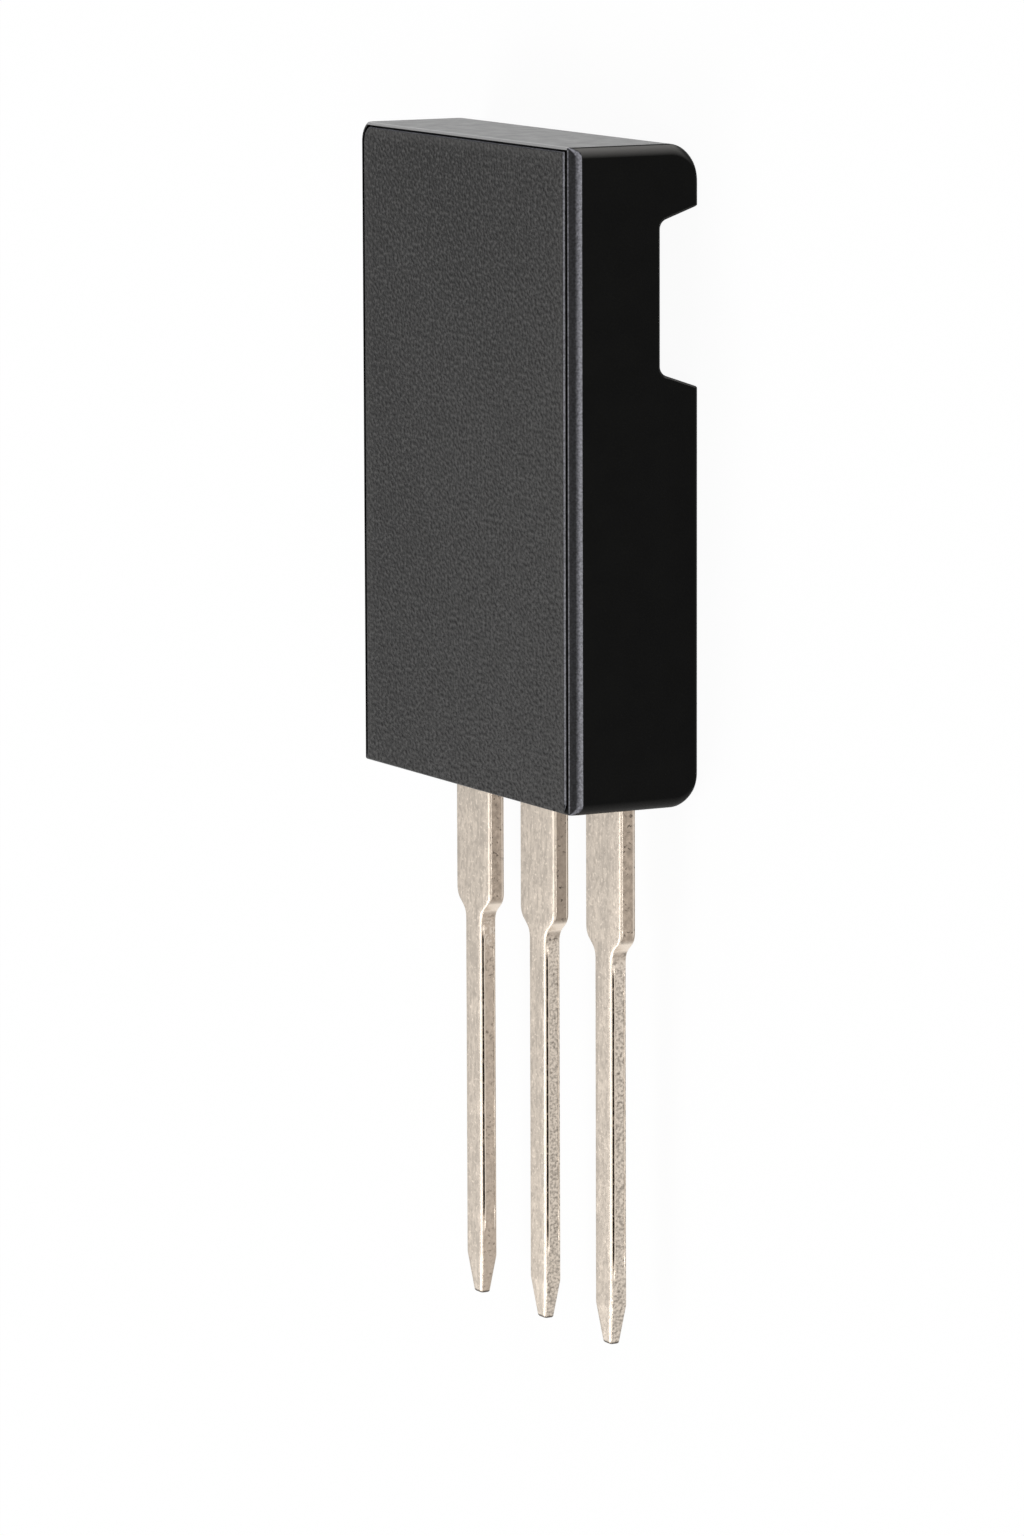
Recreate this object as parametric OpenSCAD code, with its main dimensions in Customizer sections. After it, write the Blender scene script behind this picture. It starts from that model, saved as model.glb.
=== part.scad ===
// Power transistor in a fully moulded case: a stamped lead frame with the die and its bond
// wires, sealed in one block of epoxy that has a channel for a spring clip across its front.
//
// It lies on its front face. X runs across the body and Y along it, from the lead tips to the
// top of the body. Z runs from the front face to the back face, the one that meets a heat sink.
// The origin is on the resting surface, in the middle of the whole length.

/* [Body] */
// Width of the body
body_w = 18; // [16.5:0.1:22]
// Length of the body, without its leads
body_l = 26; // [25:0.1:30]
// Thickness of the body, from the front face to the back face
body_t = 5.6; // [5.4:0.1:7]
// Radius along the top front edge
top_front_r = 1.25; // [0.6:0.05:1.6]
// Radius along the bottom front edge
bottom_front_r = 1.1; // [0.6:0.05:1.4]
// Radius of the top corner on the emitter side
key_corner_r = 0.8; // [0.6:0.05:2]
// Radius of the other three corners
corner_r = 0.45; // [0.15:0.05:0.6]
// Leg of the bevel along the two long front edges
front_bevel = 0.2; // [0.1:0.05:0.5]
// Leg of the bevel along the two long back edges
back_bevel = 0.43; // [0.25:0.01:0.8]

/* [Heat sink pad] */
// Width of the fine groove that borders the pad on the back face
groove_w = 0.18; // [0.1:0.02:0.3]
// Depth of that groove
groove_depth = 0.2; // [0.1:0.02:0.4]
// Width of the rim between the groove and the top face
rim_w = 0.1; // [0.06:0.02:0.3]

/* [Clip channel] */
// Depth of the channel across the front face
channel_depth = 1.7; // [0.8:0.1:1.9]
// Width of the channel's flat floor
channel_floor_w = 5.9; // [3:0.1:8]
// Slope of the channel's two flanks, measured from square to the floor
channel_draft = 19; // [5:1:25]
// Distance from the top of the body to the channel's floor
channel_from_top = 3; // [2.8:0.1:4]
// Radius in the channel's two floor corners
channel_floor_r = 0.4; // [0.1:0.05:0.6]
// Radius along the channel's two lips
channel_lip_r = 0.22; // [0.05:0.01:0.3]

/* [Ejector marks] */
// Diameter of the round marks that the mould's ejector pins leave on the front face
ejector_d = 2.4; // [1.5:0.1:3.5]
// Depth of the marks
ejector_depth = 0.1; // [0.05:0.01:0.2]
// Distance between the centres of the marks
ejector_spacing = 11; // [8:0.5:12]
// Distance from the bottom of the body to the centres of the marks
ejector_from_bottom = 5; // [4:0.5:10]

/* [Leads] */
// Distance between the centres of two leads
lead_pitch = 5.45; // [5:0.05:5.6]
// Thickness of the leads
lead_t = 0.7; // [0.5:0.05:0.9]
// Height of the middle of the leads over the front face
lead_height = 2; // [1.9:0.05:2.2]
// Length of the leads outside the body
lead_l = 22; // [14:0.5:24]
// Width of the shoulder, where a lead leaves the body
shoulder_w = 2.85; // [2:0.05:3.2]
// Length of the shoulder outside the body
shoulder_l = 5.55; // [3:0.05:7]
// Length of the slope from the shoulder down to the tail
slope_l = 0.6; // [0.4:0.05:1.2]
// Radius where the slope leaves the shoulder and where it meets the tail
slope_r = 0.4; // [0.1:0.05:0.5]
// Width of the tail
tail_w = 1.35; // [0.8:0.05:1.6]
// Length of the taper at the tip
tip_l = 1.6; // [1:0.1:3]
// Width of the blunt end
tip_w = 0.65; // [0.3:0.05:0.8]
// Thickness of the blunt end
tip_t = 0.4; // [0.2:0.05:0.5]

/* [Base and emitter pads] */
// Width of the wire pad at the inner end of the two outer leads
pad_w = 4.2; // [3:0.1:4.6]
// Length of the wire pad
pad_l = 2.6; // [2:0.1:3]
// Distance from the bottom of the body to the inner end of the pads
pad_end = 5.4; // [4.8:0.1:5.6]
// Diameter of the hole below each pad, which the epoxy fills to lock the lead
lock_hole_d = 1.1; // [0.6:0.1:1.4]

/* [Collector header] */
// Width of the header
header_w = 14; // [12:0.1:15]
// Length of the header
header_l = 16; // [14:0.1:17]
// Thickness of the header
header_t = 1.5; // [1.2:0.1:1.6]
// Cut across each corner of the header
header_cut = 1; // [0.3:0.1:2]
// Thickness of epoxy behind the header, which insulates it from the heat sink
back_wall = 1; // [0.8:0.1:1.1]
// Distance from the bottom of the body to the header
header_from_bottom = 6.6; // [6.4:0.1:7.5]
// Radius of the two notches in the header's sides, which lock it in the epoxy
header_notch_r = 1; // [0.5:0.1:1.5]
// Distance from the header's top edge to the middle of the notches
header_notch_from_top = 4; // [3:0.1:5]
// Distance from the bottom of the body to the start of the step up to the header
step_start = 2.6; // [1.5:0.1:3.2]
// Distance from the bottom of the body to the end of the step
step_end = 5.2; // [4.8:0.1:6]

/* [Die and bond wires] */
// Width of the square silicon die
die_w = 6; // [5:0.1:7]
// Thickness of the die
die_t = 0.35; // [0.2:0.05:0.5]
// Distance from the header's bottom edge to the die
die_from_edge = 1.4; // [0.8:0.1:3]
// Thickness of the solder under the die
solder_t = 0.1; // [0.05:0.01:0.15]
// Width of the solder that shows round the die
solder_margin = 0.25; // [0.1:0.05:0.5]
// Diameter of the two emitter wires
emitter_wire_d = 0.4; // [0.25:0.05:0.5]
// Distance between the two emitter wires
emitter_wire_spacing = 1.4; // [1:0.1:1.6]
// Diameter of the base wire
base_wire_d = 0.25; // [0.15:0.05:0.4]
// Rise of each wire over the straight line between its two feet
wire_rise = 0.75; // [0.5:0.05:0.8]
// Distance from a wire's foot to the nearest edge of the die or the pad
foot_inset = 1; // [0.8:0.05:1.2]

/* [Hidden] */
$fn = 48;

body_bottom = (lead_l - body_l) / 2;
body_top = body_bottom + body_l;
lead_tip = body_bottom - lead_l;
base_x = lead_pitch;
emitter_x = -lead_pitch;

channel_floor_top = body_top - channel_from_top;
channel_floor_bottom = channel_floor_top - channel_floor_w;

lead_front = lead_height - lead_t / 2;
lead_back = lead_height + lead_t / 2;
shoulder_end = body_bottom - shoulder_l;
tail_start = shoulder_end - slope_l;
pad_top = body_bottom + pad_end;
pad_bottom = pad_top - pad_l;

header_bottom = body_bottom + header_from_bottom;
header_top = header_bottom + header_l;
header_back = body_t - back_wall;
header_front = header_back - header_t;
step_top = body_bottom + step_end;
step_bend = atan2(header_front - lead_front, step_end - step_start);
step_mitre = lead_t * tan(step_bend / 2);  // keeps the sloping strap as thick as the lead
step_bottom = body_bottom + step_start - step_mitre;
die_bottom = header_bottom + die_from_edge;
die_front = header_front - solder_t - die_t;
die_foot_y = die_bottom + foot_inset;
pad_foot_y = pad_top - foot_inset;
foot_shape = [2.2, 1.4, 0.7];  // a wire's foot: length, width and height, in wire diameters

overcut = 1;  // how far a cutting shape runs past the surface that it cuts
arc_bite = 0.001;  // how far the arc of a rounded corner runs past the corner's two sides

function heading(angle) = [cos(angle), sin(angle)];

// The sliver between a sharp corner and the arc that rounds it. The corner is at `at`, and its
// two sides leave it at the angles `a` and `b`. Taken off an outer corner it rounds the corner,
// and added to an inner corner it fills it. Its arc runs a hair past both sides, so that it
// crosses them instead of only touching them, and its straight edges end inside that hair.
module round_corner(at, a, b, r) {
  middle = heading((a + b) / 2);
  centre = at + r / sin(abs(a - b) / 2) * middle;
  edge = r + arc_bite / 2;
  difference() {
    polygon([
      at - arc_bite * middle,
      centre + edge * heading(min(a, b) - 90),
      centre,
      centre + edge * heading(max(a, b) + 90),
    ]);
    translate(centre) circle(r + arc_bite);
  }
}

// Stands a profile drawn in Y and Z across the part, from x0 to x1.
module across(x0, x1) {
  translate([x0, 0, 0]) rotate([90, 0, 90]) linear_extrude(x1 - x0) children();
}

// Stands a profile drawn in X and Z along the part, from y0 to y1.
module along(y0, y1) {
  translate([0, y1, 0]) rotate([90, 0, 0]) linear_extrude(y1 - y0) children();
}

// Raises a profile drawn in X and Y, from z0 to z1.
module upright(z0, z1) {
  translate([0, 0, z0]) linear_extrude(z1 - z0) children();
}

// The channel's section in Y and Z, with round floor corners.
module channel_section() {
  widening = tan(channel_draft) * (channel_depth + overcut);
  difference() {
    polygon([
      [channel_floor_bottom, channel_depth],
      [channel_floor_top, channel_depth],
      [channel_floor_top + widening, -overcut],
      [channel_floor_bottom - widening, -overcut],
    ]);
    round_corner([channel_floor_bottom, channel_depth], 0, -90 - channel_draft, channel_floor_r);
    round_corner([channel_floor_top, channel_depth], 180, 270 + channel_draft, channel_floor_r);
  }
}

// The side view of the body, in Y and Z: round front edges, a square back and the channel.
module body_side() {
  widening = tan(channel_draft) * channel_depth;
  difference() {
    translate([body_bottom, 0]) square([body_l, body_t]);
    round_corner([body_top, 0], 90, 180, top_front_r);
    round_corner([body_bottom, 0], 0, 90, bottom_front_r);
    channel_section();
    round_corner([channel_floor_top + widening, 0], 0, 90 + channel_draft, channel_lip_r);
    round_corner([channel_floor_bottom - widening, 0], 90 - channel_draft, 180, channel_lip_r);
  }
}

// The end view of the body, in X and Z, with its four bevelled edges.
module body_end() {
  side = body_w / 2;
  polygon([
    [front_bevel - side, 0],
    [side - front_bevel, 0],
    [side, front_bevel],
    [side, body_t - back_bevel],
    [side - back_bevel, body_t],
    [back_bevel - side, body_t],
    [-side, body_t - back_bevel],
    [-side, front_bevel],
  ]);
}

// A plate seen from above, in X and Y, with one round top corner on the emitter side.
module key_plate(half_w, bottom, top, key_r, r) {
  difference() {
    translate([-half_w, bottom]) square([2 * half_w, top - bottom]);
    round_corner([-half_w, top], -90, 0, key_r);
    round_corner([half_w, top], 180, 270, r);
    round_corner([half_w, bottom], 90, 180, r);
    round_corner([-half_w, bottom], 0, 90, r);
  }
}

// The groove that borders the heat sink pad. It runs up both long sides and across the top.
module pad_groove() {
  outer = body_w / 2 - back_bevel;
  outer_top = body_top - rim_w;
  below = body_bottom - overcut;
  upright(body_t - groove_depth, body_t + overcut)
    difference() {
      key_plate(outer, below, outer_top, key_corner_r, corner_r);
      key_plate(outer - groove_w, below - overcut, outer_top - groove_w,
        key_corner_r - groove_w, corner_r / 2);
    }
}

module ejector_marks() {
  for (side = [-1, 1])
    translate([side * ejector_spacing / 2, body_bottom + ejector_from_bottom, -overcut])
      cylinder(h = overcut + ejector_depth, d = ejector_d);
}

// One lead seen from above, in X and Y, centred on X = 0: the tapered tip, the tail, the slope
// and the shoulder, up to `top`.
module lead_plan(top) {
  tail = tail_w / 2;
  shoulder = shoulder_w / 2;
  flare = atan2(slope_l, shoulder - tail);
  difference() {
    union() {
      polygon([
        [-tip_w / 2, lead_tip],
        [tip_w / 2, lead_tip],
        [tail, lead_tip + tip_l],
        [tail, tail_start],
        [shoulder, shoulder_end],
        [shoulder, top],
        [-shoulder, top],
        [-shoulder, shoulder_end],
        [-tail, tail_start],
        [-tail, lead_tip + tip_l],
      ]);
      round_corner([tail, tail_start], -90, flare, slope_r);
      round_corner([-tail, tail_start], 180 - flare, 270, slope_r);
    }
    round_corner([shoulder, shoulder_end], 90, 180 + flare, slope_r);
    round_corner([-shoulder, shoulder_end], -flare, 90, slope_r);
  }
}

// The side view of a lead's tip, in Y and Z, which thins it towards the end.
module tip_side(top) {
  translate([0, lead_height])
    polygon([
      [lead_tip, -tip_t / 2],
      [lead_tip + tip_l, -lead_t / 2],
      [top, -lead_t / 2],
      [top, lead_t / 2],
      [lead_tip + tip_l, lead_t / 2],
      [lead_tip, tip_t / 2],
    ]);
}

// The straight run of a lead, from its tapered tip up to `top`.
module straight_lead(top) {
  intersection() {
    upright(lead_front, lead_back) lead_plan(top);
    across(-shoulder_w, shoulder_w) tip_side(top);
  }
}

// One of the two outer leads, with its wire pad and its lock hole, centred on X = 0.
module outer_lead() {
  difference() {
    union() {
      straight_lead(pad_bottom);
      translate([-pad_w / 2, pad_bottom, lead_front]) cube([pad_w, pad_l, lead_t]);
    }
    translate([0, (body_bottom + pad_bottom) / 2, lead_front - overcut])
      cylinder(h = lead_t + 2 * overcut, d = lock_hole_d);
  }
}

// The header seen from above, in X and Y, with cut corners and a notch in each side.
module header_plan() {
  side = header_w / 2;
  difference() {
    polygon([
      [-side + header_cut, header_bottom],
      [side - header_cut, header_bottom],
      [side, header_bottom + header_cut],
      [side, header_top - header_cut],
      [side - header_cut, header_top],
      [-side + header_cut, header_top],
      [-side, header_top - header_cut],
      [-side, header_bottom + header_cut],
    ]);
    for (edge = [-side, side])
      translate([edge, header_top - header_notch_from_top]) circle(header_notch_r);
  }
}

// The side view of the collector lead's step up to the header, in Y and Z.
module step_side() {
  polygon([
    [step_bottom, lead_front],
    [body_bottom + step_start, lead_front],
    [step_top, header_front],
    [header_bottom, header_front],
    [header_bottom, header_front + lead_t],
    [step_top - step_mitre, header_front + lead_t],
    [step_bottom, lead_back],
  ]);
}

// A bond wire from a foot on the die to a foot on a pad. Each end is given as the middle of its
// foot, on the surface that it is bonded to. The wire arches towards the front face.
module bond_wire(on_die, on_pad, d) {
  foot = d * foot_shape;
  run = on_pad - on_die;
  span = norm([run.x, run.y]);
  turn = atan2(run.y, run.x);
  drop = -run.z;
  chord = norm([span, drop]);
  radius = (chord * chord / 4 + wire_rise * wire_rise) / (2 * wire_rise);
  sweep = 2 * asin(chord / 2 / radius);
  translate(on_die)
    rotate([0, 0, turn]) {
      for (end = [[0, 0], [span, -drop]])
        translate([end.x - foot.x / 2, -foot.y / 2, end.y - foot.z]) cube(foot);
      // The arch's plane stands on the line between the feet, one wire radius clear of both.
      translate([span / 2, 0, -drop / 2 - d / 2])
        rotate([0, atan2(drop, span), 0])
          rotate([90, 0, 0])
            translate([0, radius - wire_rise, 0])
              rotate([0, 0, -90 - sweep / 2])
                rotate_extrude(angle = sweep)
                  translate([radius, 0]) circle(d = d);
    }
}

module emitter_wire(offset_x) {
  bond_wire(
    [-die_w / 4 + offset_x, die_foot_y, die_front],
    [emitter_x + offset_x, pad_foot_y, lead_front],
    emitter_wire_d);
}

module case_shape() {
  intersection() {
    across(-body_w / 2, body_w / 2) body_side();
    along(body_bottom, body_top) body_end();
    upright(0, body_t) key_plate(body_w / 2, body_bottom, body_top, key_corner_r, corner_r);
  }
}

module collector_frame_shape() {
  straight_lead(step_bottom);
  across(-shoulder_w / 2, shoulder_w / 2) step_side();
  upright(header_front, header_back) header_plan();
}

// Everything that the epoxy closes round.
module insides() {
  collector_frame_shape();
  translate([base_x, 0, 0]) outer_lead();
  translate([emitter_x, 0, 0]) outer_lead();
  die_solder();
  die();
  base_wire();
  emitter_wire_1();
  emitter_wire_2();
}

module body() {
  color("#2b2a2a")
    difference() {
      case_shape();
      pad_groove();
      ejector_marks();
      insides();
    }
}

module collector_frame() {
  color("#cdbfae") collector_frame_shape();
}

module base_lead() {
  color("#cdbfae") translate([base_x, 0, 0]) outer_lead();
}

module emitter_lead() {
  color("#cdbfae") translate([emitter_x, 0, 0]) outer_lead();
}

module die_solder() {
  solder_w = die_w + 2 * solder_margin;
  color("#9a9ca0")
    translate([-solder_w / 2, die_bottom - solder_margin, header_front - solder_t])
      cube([solder_w, solder_w, solder_t]);
}

module die() {
  color("#3c4048")
    translate([-die_w / 2, die_bottom, die_front]) cube([die_w, die_w, die_t]);
}

module base_wire() {
  color("#d8dadc")
    bond_wire([die_w / 3, die_foot_y, die_front], [base_x, pad_foot_y, lead_front], base_wire_d);
}

module emitter_wire_1() {
  color("#d8dadc") emitter_wire(-emitter_wire_spacing / 2);
}

module emitter_wire_2() {
  color("#d8dadc") emitter_wire(emitter_wire_spacing / 2);
}

body();
collector_frame();
base_lead();
emitter_lead();
die_solder();
die();
base_wire();
emitter_wire_1();
emitter_wire_2();
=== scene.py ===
"""Power transistor in a fully moulded case: the finish of its housing, its stamped leads, its die
and its bond wires, with a plain studio stage."""

import math

import bmesh
import bpy
from mathutils import Matrix, Vector, noise


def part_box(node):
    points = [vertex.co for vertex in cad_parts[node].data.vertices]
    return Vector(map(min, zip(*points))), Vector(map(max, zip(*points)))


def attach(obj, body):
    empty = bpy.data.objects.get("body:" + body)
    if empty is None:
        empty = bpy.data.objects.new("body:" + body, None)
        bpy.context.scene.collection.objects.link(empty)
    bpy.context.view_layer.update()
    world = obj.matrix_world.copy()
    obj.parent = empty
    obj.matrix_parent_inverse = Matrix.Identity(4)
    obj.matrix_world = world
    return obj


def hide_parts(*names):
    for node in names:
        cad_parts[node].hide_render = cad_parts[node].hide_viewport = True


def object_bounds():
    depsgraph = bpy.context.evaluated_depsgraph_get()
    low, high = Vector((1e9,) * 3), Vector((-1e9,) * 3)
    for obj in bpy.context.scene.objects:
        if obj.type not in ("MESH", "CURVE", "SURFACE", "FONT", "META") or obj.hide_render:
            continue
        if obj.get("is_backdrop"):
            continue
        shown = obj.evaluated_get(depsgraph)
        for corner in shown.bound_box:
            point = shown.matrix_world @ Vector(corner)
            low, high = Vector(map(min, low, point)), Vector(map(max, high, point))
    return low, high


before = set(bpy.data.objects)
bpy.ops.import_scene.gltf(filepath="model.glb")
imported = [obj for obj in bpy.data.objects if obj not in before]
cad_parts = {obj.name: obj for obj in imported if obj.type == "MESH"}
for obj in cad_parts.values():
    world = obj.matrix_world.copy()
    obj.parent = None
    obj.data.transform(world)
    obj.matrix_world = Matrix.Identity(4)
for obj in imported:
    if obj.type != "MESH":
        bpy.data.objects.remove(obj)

bl_info = {
    "name": "Moulded Power Transistor",
    "version": (1, 0, 0),
    "blender": (4, 5, 0),
    "location": "View3D > Sidebar > Transistor",
    "description": "Finishes a power transistor with a moulded housing and three stamped leads",
    "category": "Object",
}

MM = 0.001

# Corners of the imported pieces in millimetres, which every new piece is fitted to.
BODY_LOW, BODY_HIGH = (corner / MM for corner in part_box("body"))
LEAD_LOW, LEAD_HIGH = (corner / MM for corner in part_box("base_lead"))
FRAME_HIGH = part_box("collector_frame")[1] / MM

HALF_W = BODY_HIGH.x
BODY_BOTTOM = BODY_LOW.y
BODY_TOP = BODY_HIGH.y
BODY_T = BODY_HIGH.z
LEAD_TIP = LEAD_LOW.y
LEAD_FRONT = LEAD_LOW.z
LEAD_BACK = LEAD_HIGH.z
BASE_X = (LEAD_LOW.x + LEAD_HIGH.x) / 2

# How far a cutting tool reaches past the surface that it cuts, in millimetres.
TOOL_PAST = 1.0

# The housing's own forms, in millimetres.
TOP_FRONT_R = 1.25
BOTTOM_FRONT_R = 1.1
SIDE_FRONT_R = 0.2
KEY_CORNER_R = 0.9  # the emitter's top corner
CORNER_R = 0.53
CORNER_TURN = 68  # degrees that a corner's arc turns before it meets the end face
CORNER_SHARES = (0, 0.12, 0.25, 0.38, 0.51, 0.64, 0.77, 0.89, 1)  # of that turn, per point
BACK_BEVEL = 0.43
BACK_BEVEL_DROP = 0.42
BACK_BEVEL_TURN = (math.radians(24), math.radians(62))
LIP_W = 0.05  # the low lip between a bevel and the groove
LIP_DROP = 0.035
TOP_EDGE_R = 0.07
BOTTOM_EDGE_R = 0.06
GROOVE_W = 0.33
GROOVE_DEPTH = 0.2
GROOVE_RUN_OUT = 0.3  # how far above a bottom corner the groove starts to run out
GROOVE_CORNER_R = 0.03
RING_STEP = 0.03  # keeps the groove's rings apart where they meet the bottom edge
PAD_HALF = HALF_W - BACK_BEVEL - GROOVE_W
RIM_W = 0.1  # the thin rim between the groove and the top face
CHANNEL_DEPTH = 1.7
CHANNEL_FLOOR = (15.1, 21.0)
CHANNEL_DRAFT = math.radians(19)
CHANNEL_FLOOR_R = 0.4
CHANNEL_LIP_R = 0.22
CHANNEL_END_BEVEL = 0.08
EJECTOR_R = 1.2
EJECTOR_DEPTH = 0.1
EJECTOR_X = 5.5
EJECTOR_Y = 3.0

# The leads' forms, in millimetres.
SHOULDER_W = 2.85
TAIL_W = 1.35
TIP_W = 0.65
TIP_T = 0.4
SHOULDER_END = -7.55
TAIL_START = -8.15
TIP_START = -22.4
SLOPE_R = 0.65
TIP_BEND_R = 0.6
PAD_W = 4.2
PAD_BOTTOM = 0.8
RING_GAP = 0.01  # keeps two rings out of one plane where a lead's width jumps
LOCK_HOLE_R = 0.55
LOCK_HOLE_Y = -0.6
STEP = (0.6, 3.2)
HEADER_FRONT = 3.1
HEADER_BOTTOM = 4.6
HEADER_CUT = 1.0
HEADER_NOTCH_R = 1.0
HEADER_NOTCH_FROM_TOP = 4.0

# The rings that round off a lead's tip: how far each lies above it, and how much narrower on
# each side and how much thinner it is than the tip, in millimetres.
TIP_RINGS = ((0.05, -0.010, 0.004), (0.012, 0.028, 0.03), (0, 0.07, 0.07))

# The two fine lines that shearing leaves along a lead's sides, in millimetres.
SHEAR_DEPTH = 0.080
SHEAR_W = 0.085
SHEAR_RIDGE = 0.020
SHEAR_BELOW_BEVEL = 0.012
SECOND_LINE_Z = 0.10  # above the front face

# Where each lead reads the noise that makes its sheared lines ragged.
LEAD_SEEDS = {"base_lead": 0.0, "emitter_lead": 11.3, "collector_frame": 23.9}

# Where the plating changes, in millimetres: the emitter's and the collector's leads seen from
# above, and the rough patch at the top of the tails.
EMITTER_X = (-4.0, -3.0)
COLLECTOR_X = (2.0, 2.5)
PATCH_Y = (-9.6, -8.8)

# Colours that have no setting of their own.
# The first colour is a painted highlight on the sides' soft upright corners; the second is painted
# shade in the leads' sheared lines.
FILLET_HIGHLIGHT = (0.110, 0.107, 0.103)
CREVICE_SHADE = (0.024, 0.017, 0.012)

# The kinds of epoxy on the housing, in the order of its materials.
PAD_FACE, EDGE_FACE, SIDE_FACE, END_FACE = range(4)


# ------------------------------------------------------------------------------- settings


def colour(name, description, default):
    """A setting that holds a colour."""
    return bpy.props.FloatVectorProperty(
        name=name,
        description=description,
        subtype="COLOR",
        size=3,
        min=0,
        max=1,
        default=default,
    )


def watts(name, description, default):
    """A setting that holds a lamp's power."""
    return bpy.props.FloatProperty(
        name=name,
        description=description,
        subtype="POWER",
        unit="POWER",
        default=default,
        min=0,
        max=20,
    )


class HousingSettings(bpy.types.PropertyGroup):
    """Colours and surface of the moulded epoxy."""

    pad_colour: colour(
        "Pad Colour",
        "Colour of the grained back face, which meets a heat sink",
        (0.019, 0.0185, 0.018),
    )
    edge_colour: colour(
        "Edge Colour",
        "Colour of the soft bevels and edges that frame the back face",
        (0.0105, 0.0105, 0.0118),
    )
    # The sides' very dark colour is painted shade.
    side_colour: colour(
        "Side Colour",
        "Colour of the smooth sides, the front and the groove",
        (0.0017, 0.0017, 0.0015),
    )
    # The end faces' paler colour is painted light.
    end_colour: colour(
        "End Colour",
        "Colour of the top and bottom faces",
        (0.040, 0.040, 0.040),
    )
    grain_size: bpy.props.FloatProperty(
        name="Grain Size",
        description="Distance between the bumps of the back face's grain",
        subtype="DISTANCE",
        default=0.00014,
        min=0.00005,
        max=0.002,
        precision=5,
    )


class LeadSettings(bpy.types.PropertyGroup):
    """Colours of the tin-plated leads."""

    plating_colour: colour(
        "Plating Colour",
        "Colour of the plated faces",
        (0.62, 0.545, 0.465),
    )
    flank_colour: colour(
        "Flank Colour",
        "Colour of the sheared sides, which take less plating",
        (0.44, 0.36, 0.29),
    )


class StageSettings(bpy.types.PropertyGroup):
    """Floor and light."""

    floor_colour: colour("Floor Colour", "Colour of the floor", (0.93, 0.93, 0.93))
    key_power: watts("Key Power", "Power of the large lamp over the pad", 1.3)
    top_power: watts("Top Power", "Power of the lamp beyond the top of the housing", 0.8)
    front_power: watts("Front Power", "Power of the small lamp beside the camera", 0.9)
    world_strength: bpy.props.FloatProperty(
        name="World Strength",
        description="Light from all round",
        default=0.36,
        min=0,
        max=2,
    )


# ------------------------------------------------------------------------------- mesh tools


def rounded_path(corners, step=math.radians(9)):
    """Points of an open path through (a, b, radius) corners, with an arc at each corner that
    has a radius. Each arc has one point for about every `step` of its turn."""
    points = [Vector(corners[0][:2])]
    for before, corner, after in zip(corners, corners[1:], corners[2:]):
        at, radius = Vector(corner[:2]), corner[2]
        if not radius:
            points.append(at)
            continue
        back = (Vector(before[:2]) - at).normalized()
        ahead = (Vector(after[:2]) - at).normalized()
        half = back.angle(ahead) / 2
        centre = at + (back + ahead).normalized() * radius / math.sin(half)
        start = at + back * radius / math.tan(half) - centre
        turn = math.pi - 2 * half
        if start.x * ahead.y - start.y * ahead.x < 0:
            turn = -turn
        count = max(2, round(abs(turn) / step))
        for i in range(count + 1):
            points.append(centre + Matrix.Rotation(turn * i / count, 2) @ start)
    points.append(Vector(corners[-1][:2]))
    return points


def loft(bm, rings):
    """Joins rings of the same number of points into a closed skin with two flat ends. Returns
    the rings' vertices."""
    loops = [[bm.verts.new(point) for point in ring] for ring in rings]
    for near, far in zip(loops, loops[1:]):
        count = len(near)
        for i in range(count):
            j = (i + 1) % count
            bm.faces.new((near[i], near[j], far[j], far[i]))
    bm.faces.new(list(reversed(loops[0])))
    bm.faces.new(loops[-1])
    return loops


def new_object(name, bm):
    """An object in the scene with the mesh of `bm`, whose faces all look outwards."""
    bmesh.ops.recalc_face_normals(bm, faces=bm.faces)
    mesh = bpy.data.meshes.new(name)
    bm.to_mesh(mesh)
    bm.free()
    made = bpy.data.objects.new(name, mesh)
    bpy.context.scene.collection.objects.link(made)
    return made


def cut(piece, tool):
    """Takes the shape of `tool` out of `piece` and deletes the tool."""
    modifier = piece.modifiers.new("cut", "BOOLEAN")
    modifier.operation = "DIFFERENCE"
    modifier.solver = "EXACT"
    modifier.object = tool
    bpy.context.view_layer.update()
    result = bpy.data.meshes.new_from_object(
        piece.evaluated_get(bpy.context.evaluated_depsgraph_get())
    )
    piece.modifiers.clear()
    piece.data = result
    bpy.data.objects.remove(tool)


def finish_piece(piece, node, materials, sharp=math.radians(32)):
    """Scales a piece from millimetres, shades it, gives it its materials and puts it in the
    place of its CAD node."""
    piece.data.transform(Matrix.Scale(MM, 4))
    piece.data.shade_smooth()
    piece.data.set_sharp_from_angle(angle=sharp)
    piece.data.materials.clear()
    for material in materials:
        piece.data.materials.append(material)
    weighted = piece.modifiers.new("flat faces stay flat", "WEIGHTED_NORMAL")
    weighted.keep_sharp = True
    weighted.weight = 100
    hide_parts(node)
    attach(piece, "root")


def prism(outline, low, high):
    """Two rings that carry an outline in X and Y from height `low` to height `high`."""
    return [[(p[0], p[1], z) for p in outline] for z in (low, high)]


def disc_outline(x, y, radius, count=32):
    """Points of a circle in X and Y."""
    turns = (math.tau * i / count for i in range(count))
    return [(x + radius * math.cos(a), y + radius * math.sin(a)) for a in turns]


# ------------------------------------------------------------------------------- node tools


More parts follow.
